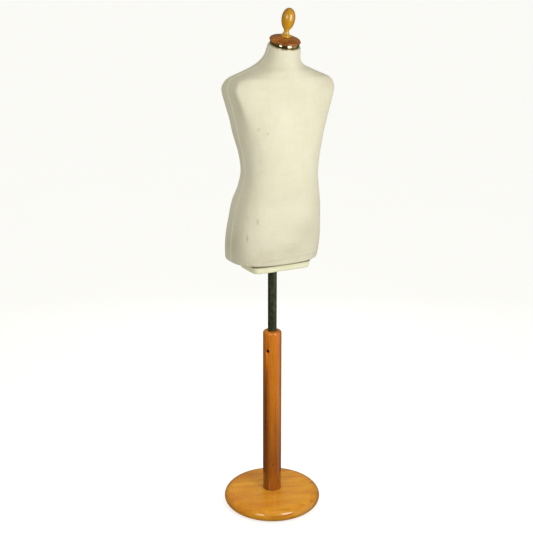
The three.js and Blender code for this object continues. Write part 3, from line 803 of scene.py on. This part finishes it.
def canvas_look(name, light, dark, aged, seamed=False, painted_hem_shadow=None):
    """Plain-woven cotton canvas with uneven threads, a little yellowed and marked with age, with broad
    patches of painted shade and, on seamed panels, a painted highlight along the ridges beside the seams.

    The last argument gives two heights in metres for a painted shadow under the hem: the cloth keeps its own
    colour at the first and is painted dark as shade at the second.
    """
    look = Look(name, specular_ior_level=0.25, sheen_weight=0.2, sheen_roughness=0.6)
    cloth = look.cloth()
    turn = math.pi / THREAD
    warp = look.calc("SINE", look.times(look.part(cloth, 0), turn))
    weft = look.calc("SINE", look.times(look.part(cloth, 1), turn))
    weave = look.times(warp, weft)
    warp_slub = look.noise(look.cloth((520, 16, 1)), 1.0, 2.0)
    weft_slub = look.noise(look.cloth((13, 560, 1)), 1.0, 2.0)
    broad_slub = look.noise(look.cloth((150, 7, 1)), 1.0, 2.0)
    slubs = look.plus(look.plus(warp_slub, weft_slub), look.times(broad_slub, 0.4))
    tone = look.noise(look.place(), 7.0, 4.0, 0.6)
    shade = look.plus(look.times(look.spread(slubs, 0.7, 1.7), 0.5),
                      look.times(look.spread(tone, 0.3, 0.7), 0.5))
    color = look.mix(shade, dark, light)
    low = look.spread(look.part(look.place(), 2), 0.98, 0.84)
    blotches = look.spread(look.noise(look.place(), 16.0, 5.0, 0.65), 0.42, 0.75)
    yellowing = look.plus(look.times(low, 0.3), 0.15)
    color = look.mix(look.times(yellowing, blotches), color, aged)
    # Painted shade in broad patches.
    for middle, radius, tall, depth in PAINTED_SHADE_PATCHES:
        patch = look.times(look.tall_spot(middle, radius, tall), depth)
        color = look.mix(patch, color, rgb(186, 178, 156))
    ragged = look.spread(look.noise(look.place(), 260.0, 2.0), 0.25, 0.7)
    for middle, radius, tall, depth in STAINS:
        mark = look.times(look.times(look.tall_spot(middle, radius, tall), ragged), depth)
        color = look.mix(mark, color, rgb(158, 112, 72))
    if seamed:
        seam = look.part(look.cloth(layer="seam"), 0)
        color = look.mix(look.spread(seam, 0.0016, 0.0004, 0, 0.4), color, rgb(150, 138, 108))
        # A painted highlight along the ridge beside each seam; the thin line at the seam itself is the
        # thread's darker colour.
        ridge = look.times(look.spread(seam, 0.001, 0.002), look.spread(seam, 0.0062, 0.0035))
        color = look.mix(look.times(ridge, 0.8), color, rgb(250, 247, 230))
    # Painted shadow of the hem: the cloth turns dark towards the top of the block, under the hem's overhang.
    if painted_hem_shadow:
        color = look.mix(look.spread(look.part(look.place(), 2), *painted_hem_shadow, 0, 0.85), color, rgb(96, 88, 60))
    gaps = look.spread(weave, -1.0, -0.2, 0.07, 0.0)
    look.color(look.mix(gaps, color, rgb(120, 108, 82)))
    look.roughness(look.spread(slubs, 0.9, 1.7, 0.95, 0.85))
    relief = look.plus(weave, look.times(slubs, 1.6))
    look.bump(relief, 0.00016, 0.6)
    return look.material


def wood_look(name, light, dark, streak, grain, pith, ring, knots=(), painted_shade=None, **finish):
    """Varnished wood: growth rings about a pith line, fine fibres and pores, and broad tone changes.

    grain turns the wood's length to X, pith is where the middle of the tree lies in the turned frame,
    and ring is the width of a year's growth. The argument after knots paints shade on one side: the way that
    side faces, and the heights where the painted shade is whole and where it has faded out. Below those the
    wood is painted darker all round, as shade towards the foot.
    All are in metres.
    """
    look = Look(name, **finish)
    along = look.place((0.09, 1, 1), grain, pith)
    wander = look.times(look.noise(along, 9.0, 2.0), 0.03)
    sideways = look.node("ShaderNodeCombineXYZ", None, {1: wander}).outputs[0]
    bent = look.node("ShaderNodeVectorMath", {"operation": "ADD"}, {0: along, 1: sideways}).outputs[0]
    years = look.rings(bent, ring, 1.2, 2.0)
    late = look.spread(years, 0.55, 1.0)
    fibre = look.noise(look.place((28, 620, 620), grain, pith), 1.0, 3.0, 0.6)
    pores = look.spread(look.noise(look.place((60, 1500, 1500), grain, pith), 1.0, 1.0), 0.62, 0.72)
    broad = look.noise(look.place((4, 26, 26), grain, pith), 1.0, 3.0, 0.55)
    color = look.mix(look.spread(broad, 0.3, 0.72), light, dark)
    color = look.mix(look.times(late, 0.55), color, dark)
    color = look.mix(look.times(look.spread(fibre, 0.5, 0.75), 0.35), color, dark)
    veins = look.spread(look.noise(look.place((5, 85, 85), grain, pith), 1.0, 2.0), 0.63, 0.74)
    color = look.mix(look.times(veins, 0.5), color, streak)
    color = look.mix(look.times(pores, 0.3), color, streak)
    for middle, radius, tall in knots:
        spot = look.tall_spot(middle, radius, tall)
        color = look.mix(look.times(spot, 0.75), color, rgb(58, 28, 8))
    # Painted shade: one side of the wood darker, and all of it darker towards the foot, as the light falls
    # off.
    if painted_shade:
        way, low, high = painted_shade
        side = look.spread(look.dot(look.place(), way), 0.006, 0.022)
        height = look.part(look.place(), 2)
        below = look.spread(height, high, low)
        color = look.mix(look.times(look.times(side, below), 0.6), color, streak)
        color = look.mix(look.spread(height, high, 0.05, 0, 0.45), color, streak)
    look.color(color)
    scuffs = look.noise(look.place(), 38.0, 4.0, 0.65)
    base = look.shader.inputs["Roughness"].default_value
    look.roughness(look.spread(scuffs, 0.3, 0.75, base - 0.05, base + 0.12))
    look.bump(look.plus(look.times(fibre, 0.6), look.times(pores, -0.8)), 0.0002, 0.35)
    return look.material


def raw_wood_look(name, light, dark, grain):
    """Plain unfinished wood, for what is inside or underneath."""
    look = Look(name, roughness=0.75)
    years = look.rings(look.place((0.1, 1, 1), grain, (0, 0.05, 0.16)), 0.00571, 2.0)
    fibre = look.noise(look.place((30, 700, 700), grain), 1.0, 3.0)
    color = look.mix(look.times(years, 0.6), light, dark)
    look.color(look.mix(look.times(fibre, 0.4), color, dark))
    look.bump(fibre, 0.0003, 0.5)
    return look.material


def metal_look(name, bright, dull, roughness, brushing, wear_scale=60.0):
    """Metal with fine brushing across its length and duller, rougher patches."""
    look = Look(name, metallic=1.0)
    patches = look.noise(look.place(), wear_scale, 5.0, 0.6)
    brushed = look.noise(look.place(brushing), 1.0, 2.0)
    worn = look.spread(patches, 0.42, 0.68)
    color = look.mix(worn, bright, dull)
    look.color(look.mix(look.times(brushed, 0.25), color, dull))
    wavy = look.plus(look.times(worn, 0.14), look.times(brushed, 0.08))
    look.roughness(look.plus(wavy, roughness))
    look.bump(look.plus(brushed, patches), 0.00003, 0.4)
    return look.material


def rod_look():
    """Steel gone dark and greenish, rubbed a little brighter in streaks along its length."""
    look = Look("dark_patina", metallic=0.75, specular_ior_level=0.5)
    streaks = look.noise(look.place((420, 420, 7)), 1.0, 3.0, 0.6)
    mottle = look.noise(look.place((1, 1, 0.6)), 120.0, 5.0, 0.65)
    color = look.mix(look.spread(mottle, 0.35, 0.7), rgb(70, 75, 50), rgb(108, 111, 83))
    rubbed = look.times(look.spread(streaks, 0.55, 0.8), 0.45)
    color = look.mix(rubbed, color, rgb(158, 156, 136))
    rust = look.spread(look.noise(look.place(), 75.0, 4.0), 0.6, 0.75)
    look.color(look.mix(look.times(rust, 0.35), color, rgb(88, 62, 40)))
    look.roughness(look.spread(streaks, 0.3, 0.75, 0.46, 0.3))
    look.bump(look.plus(streaks, mottle), 0.00005, 0.5)
    return look.material


def fibre_look(name, light, dark, scale, depth):
    """Matted fibres: felt, wadding or pulp."""
    look = Look(name, roughness=0.95, specular_ior_level=0.2, sheen_weight=0.15)
    fine = look.noise(look.place(), scale, 6.0, 0.7, 0.6)
    clumps = look.noise(look.place(), scale / 9, 4.0, 0.6)
    color = look.mix(look.spread(fine, 0.35, 0.65), dark, light)
    look.color(look.mix(look.times(look.spread(clumps, 0.4, 0.7), 0.35), color, dark))
    look.bump(fine, depth, 0.8)
    return look.material


def plastic_look():
    look = Look("nylon_plug", roughness=0.4, subsurface_weight=0.05)
    mottle = look.noise(look.place(), 90.0, 4.0)
    look.color(look.mix(look.spread(mottle, 0.35, 0.7), rgb(232, 228, 216), rgb(206, 200, 184)))
    turned = look.noise(look.place((20, 20, 2500)), 1.0, 2.0)
    look.roughness(look.spread(turned, 0.3, 0.7, 0.35, 0.5))
    look.bump(turned, 0.00005, 0.5)
    return look.material


def chrome_look():
    """Polished plating, with faint hairlines round it and a few duller spots."""
    look = Look("polished_band", metallic=1.0)
    dull = look.spread(look.noise(look.place(), 140.0, 5.0, 0.65), 0.52, 0.75)
    hairlines = look.noise(look.place((60, 60, 1800), (-NECK["tilt"] * DEGREE, 0, 0)), 1.0, 2.0)
    look.color(look.mix(look.times(dull, 0.5), rgb(194, 176, 132), rgb(124, 98, 58)))
    look.roughness(look.plus(look.times(dull, 0.14), look.times(hairlines, 0.08)))
    look.bump(hairlines, 0.00001, 0.3)
    return look.material


UPRIGHT = (0, 90 * DEGREE, 0)  # turns a grain along Z to X
BASE_GRAIN = (0, 0, 17 * DEGREE)

# The post's side painted darker as shade: the way that it faces, and the heights in metres between which the
# painted shade fades out.
POST_PAINTED_SHADE = ((-0.92, 0.39, 0), 0.36, 0.52)
# Small dark knots and dents in the post: place in metres, radius, and height over width.
POST_KNOTS = [
    ((-0.0285, -0.0085, 0.29), 0.0055, 1.6),
    ((-0.0285, -0.0065, 0.268), 0.0045, 1.3),
    ((-0.006, -0.0275, 0.225), 0.0035, 0.6),
    ((0.012, -0.025, 0.222), 0.003, 0.6),
    ((-0.010, -0.026, 0.14), 0.005, 1.5),
    ((-0.014, -0.022, 0.44), 0.003, 2.0),
]


def make_looks():
    return {
        "canvas": canvas_look(
            "canvas_cloth", rgb(230, 226, 204), rgb(217, 212, 186), rgb(205, 192, 160), seamed=True
        ),
        # The block's cloth: the canvas painted brighter, as light from the floor below, and painted dark at
        # its top edge as the hem's shadow.
        "block_canvas": canvas_look(
            "block_canvas", rgb(248, 248, 216), rgb(240, 239, 204), rgb(230, 222, 184), painted_hem_shadow=(0.8312, 0.8345)
        ),
        "base_wood": wood_look(
            "honey_beech", rgb(252, 178, 44), rgb(228, 142, 26), rgb(160, 86, 14), BASE_GRAIN,
            (0, 0.03, 0.19), 0.011, roughness=0.26, specular_ior_level=0.35, coat_weight=1.0,
            coat_roughness=0.05,
        ),
        "finial_wood": wood_look(
            "honey_beech_upright", rgb(236, 190, 54), rgb(194, 136, 26), rgb(142, 84, 14), UPRIGHT,
            (0, 0.02, 0.05), 0.007, roughness=0.22, coat_weight=0.8, coat_roughness=0.06,
        ),
        "post_wood": wood_look(
            "amber_beech", rgb(234, 138, 24), rgb(196, 101, 9), rgb(88, 38, 4), UPRIGHT, (0, 0.03, 0.05),
            0.008, POST_KNOTS, POST_PAINTED_SHADE, roughness=0.27, specular_ior_level=0.4, coat_weight=0.9,
            coat_roughness=0.08,
        ),
        "cap_wood": wood_look(
            "cherry_cap", rgb(214, 130, 32), rgb(118, 60, 12), rgb(48, 22, 5), (0, 0, 0), (0, 0.02, 1.3),
            0.006, roughness=0.24, specular_ior_level=0.3, coat_weight=0.7, coat_roughness=0.06,
        ),
        "plain_wood": raw_wood_look("raw_pine", rgb(214, 184, 138), rgb(180, 142, 92), (0, 0, 0)),
        "wadding": fibre_look("cotton_wadding", rgb(226, 220, 206), rgb(198, 190, 172), 420.0, 0.0006),
        "papier_mache": fibre_look("pulp_shell", rgb(176, 154, 116), rgb(138, 116, 82), 160.0, 0.0005),
        "felt": fibre_look("pressed_felt", rgb(88, 82, 74), rgb(54, 50, 44), 900.0, 0.0003),
        "dark_steel": metal_look("dark_steel", rgb(92, 92, 80), rgb(58, 57, 46), 0.32, (40, 40, 900)),
        "bright_steel": metal_look(
            "bright_steel", rgb(206, 206, 204), rgb(160, 157, 150), 0.22, (90, 90, 900)
        ),
        "brass": metal_look("brass", rgb(206, 164, 86), rgb(150, 112, 52), 0.24, (90, 90, 900)),
        "rod_steel": rod_look(),
        "chrome": chrome_look(),
        "nylon": plastic_look(),
    }


# ---------------------------------------------------------------- assembly


def make_torso(looks):
    left, right = 360 - SIDE_SEAM, 180 + SIDE_SEAM
    wadding_panel("wadding_front", "padding_front", right, left, looks["wadding"])
    wadding_panel("wadding_back", "padding_back", left - 360, right, looks["wadding"])
    canvas_panel("canvas_front", "cover_front", right, left, looks["canvas"])
    canvas_panel("canvas_back_left", "cover_back_left", left - 360, 90, looks["canvas"])
    canvas_panel("canvas_back_right", "cover_back_right", 90, right, looks["canvas"])
    block_cover(looks["block_canvas"])


def dress_cad_nodes(looks):
    """Gives each CAD piece that still shows the finished material of its slot."""
    slots = {row["node"]: row["material_slot"] for row in frame["record"]["subparts"]}
    for name, node in frame["nodes"].items():
        for slot in node.material_slots:
            slot.material = looks[slots[name]]


FLOOR = dict(reach=600.0, drop=0.0004)  # it lies just below the felt, so that the two don't share a plane
CAMERA = dict(place=(-1.2957, -2.4369, 1.611), down=16.2, turn=-27.62, lens=62.41)
BUST_MIDDLE = 1.15  # the height that the lights face, in metres


def add_floor():
    floor_look = Look("pale_floor", roughness=0.9, specular_ior_level=0.1, emission_strength=0.68)
    floor_look.shader.inputs["Emission Color"].default_value = rgb(252, 253, 255)
    soft = floor_look.noise(floor_look.place(), 1.5, 2.0)
    floor_look.color(floor_look.mix(soft, rgb(200, 199, 196), rgb(195, 194, 190)))
    mesh = bpy.data.meshes.new("floor")
    reach = FLOOR["reach"]
    corners = [(x * reach, y * reach, -FLOOR["drop"]) for x, y in ((-1, -1), (1, -1), (1, 1), (-1, 1))]
    mesh.from_pydata(corners, [], [(0, 1, 2, 3)])
    mesh.materials.append(floor_look.material)
    floor = bpy.data.objects.new("floor", mesh)
    bpy.context.scene.collection.objects.link(floor)
    floor.visible_glossy = False  # the polished wood would look pale with so white a floor in it
    floor.visible_diffuse = False  # and the bust too flat; the room's own light from below is enough


def add_window(name, azimuth, distance, height, size, power, mirrored=True):
    """A soft upright light that faces the bust. The azimuth turns from -Y towards +X, in degrees.

    A light that isn't mirrored makes no highlight in what is polished.
    """
    light = bpy.data.lights.new(name, "AREA")
    light.shape = "RECTANGLE"
    light.size, light.size_y = size
    light.energy = power
    source = bpy.data.objects.new(name, light)
    turn = azimuth * DEGREE
    place = Vector((distance * math.sin(turn), -distance * math.cos(turn), height))
    source.location = place
    source.rotation_mode = "QUATERNION"
    source.rotation_quaternion = (place - Vector((0, 0, BUST_MIDDLE))).to_track_quat("Z", "Y")
    source.visible_camera = False
    source.visible_glossy = mirrored
    bpy.context.scene.collection.objects.link(source)


def add_lights():
    add_window("near_window", 11, 1.2, 1.27, (0.55, 0.9), 10.0)
    add_window("far_window", -55, 2.0, 1.4, (0.6, 1.0), 9.2)
    add_window("back_window", 152, 2.0, 1.4, (0.8, 1.2), 9.0, mirrored=False)


def add_world():
    """A pale room, brighter from above, that shows dim in what is polished."""
    world = bpy.data.worlds.new("studio")
    bpy.context.scene.world = world
    world.use_nodes = True
    room = Nodes(world.node_tree)
    way = room.node("ShaderNodeTexCoord").outputs["Generated"]
    upward = room.part(way, 2)
    glow = room.plus(room.spread(upward, 0, 0.9, 0.2, 0.54), room.spread(upward, 0.05, -0.05, 0, 0.22))
    behind = room.spread(room.dot(way, (0.2, 0.97, 0.1)), 0.2, 0.95, 0, 0.4)
    glow = room.plus(glow, behind)
    seen = room.spread(upward, -0.5, 0.8, 0.05, 0.18)
    wall = room.spread(room.dot(way, (0.8, -0.6, 0)), 0.72, 0.95, 0, 0.5)
    seen = room.plus(seen, wall)
    path = room.node("ShaderNodeLightPath")
    strength = room.blend(path.outputs["Is Glossy Ray"], glow, seen)
    strength = room.blend(path.outputs["Is Camera Ray"], strength, 0.97)
    color = room.mix(path.outputs["Is Camera Ray"], (1, 0.975, 0.84, 1), (1, 0.995, 0.98, 1))
    background = world.node_tree.nodes["Background"]
    room.feed(background.inputs["Strength"], strength)
    room.feed(background.inputs["Color"], color)


def add_camera():
    camera = bpy.data.cameras.new("camera")
    camera.lens = CAMERA["lens"]
    holder = bpy.data.objects.new("camera", camera)
    holder.location = CAMERA["place"]
    holder.rotation_euler = ((90 - CAMERA["down"]) * DEGREE, 0, CAMERA["turn"] * DEGREE)
    bpy.context.scene.collection.objects.link(holder)
    bpy.context.scene.camera = holder


looks = make_looks()
dress_cad_nodes(looks)
make_base(looks["base_wood"])
make_felt(looks["felt"])
make_post(looks["post_wood"])
make_rod(looks["rod_steel"])
make_torso(looks)
make_neck_ring(looks["chrome"])
make_cap(looks["cap_wood"])
make_finial(looks["finial_wood"])
add_floor()
add_world()
add_lights()
add_camera()
bpy.context.scene.view_settings.view_transform = "Standard"
